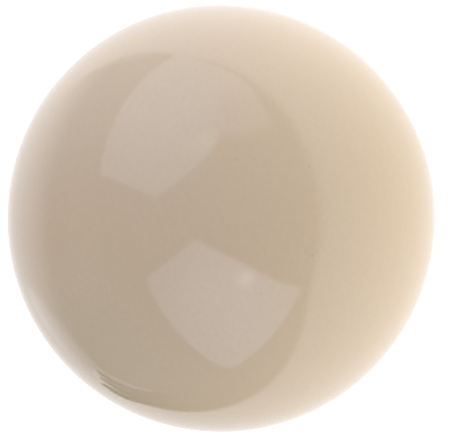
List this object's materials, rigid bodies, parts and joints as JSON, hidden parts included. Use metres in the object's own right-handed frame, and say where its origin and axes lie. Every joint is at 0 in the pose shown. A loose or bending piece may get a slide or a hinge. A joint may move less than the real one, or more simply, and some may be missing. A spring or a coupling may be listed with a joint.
{
  "type": "cue ball",
  "caption": "Plain cream cue ball: a solid, glossy phenolic resin sphere that the cue strikes to drive the object balls.",
  "frame": {"origin": "centre of the ball", "axes": "the ball looks the same from every side, so +Z is only up: it meets the table at z = -28.575 mm"},
  "size_m": [0.0572, 0.0572, 0.0572],
  "materials": {
    "phenolic_resin": "polished to a clear gloss"
  },
  "bodies": {
    "root": {"cue_ball": "phenolic_resin"}
  },
  "joints": []
}
